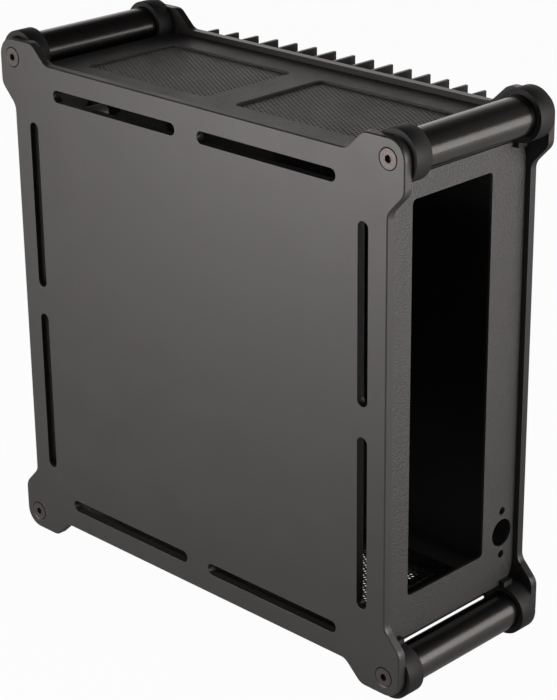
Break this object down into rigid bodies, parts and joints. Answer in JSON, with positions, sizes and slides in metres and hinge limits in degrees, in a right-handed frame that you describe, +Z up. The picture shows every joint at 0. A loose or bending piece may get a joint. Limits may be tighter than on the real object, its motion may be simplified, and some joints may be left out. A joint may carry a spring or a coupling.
{
  "type": "mini-itx pc case",
  "caption": "Fanless upright mini-ITX computer case: two eared side plates, one finned as a heatsink, joined by round corner bars, with recessed panels between them.",
  "frame": {"origin": "on the standing surface, under the middle of the object's box", "axes": "+Z up, +Y towards the rear panel, +X towards the plain side plate"},
  "size_m": [0.0954, 0.2249, 0.2259],
  "materials": {
    "plate_black": "satin black anodised",
    "heat_black": "satin black anodised",
    "panel_black": "fine bead-blasted black anodised",
    "bar_black": "turned black anodised",
    "collar_rubber": "matt",
    "mesh_black": "perforated sheet, matt black",
    "screw_steel": "black oxide",
    "pillar_steel": "plain",
    "button_black": "black anodised",
    "button_cap": "black anodised"
  },
  "bodies": {
    "case": {"bar_bottom_front": "bar_black", "bar_bottom_rear": "bar_black", "bar_top_front": "bar_black", "bar_top_rear": "bar_black", "board_pillars": "pillar_steel", "bottom_panel": "panel_black", "button_housing": "button_black", "button_nut": "button_black", "collar_bottom_front_heat": "collar_rubber", "collar_bottom_front_side": "collar_rubber", "collar_bottom_rear_heat": "collar_rubber", "collar_bottom_rear_side": "collar_rubber", "collar_top_front_heat": "collar_rubber", "collar_top_front_side": "collar_rubber", "collar_top_rear_heat": "collar_rubber", "collar_top_rear_side": "collar_rubber", "front_panel": "panel_black", "heat_plate": "heat_black", "mesh_bottom_front": "mesh_black", "mesh_bottom_rear": "mesh_black", "mesh_top_front": "mesh_black", "mesh_top_rear": "mesh_black", "rear_panel": "panel_black", "screws_heat": "screw_steel", "screws_side": "screw_steel", "side_plate": "plate_black", "top_panel": "panel_black"},
    "button": {"button_cap": "button_cap"}
  },
  "joints": [
    {"name": "power_button_press", "type": "slide", "parent": "case", "child": "button", "axis": [0, 1, 0], "range_m": [0, 0.0015], "stiffness_N_per_m": 1200, "springref_m": -0.0005}
  ]
}
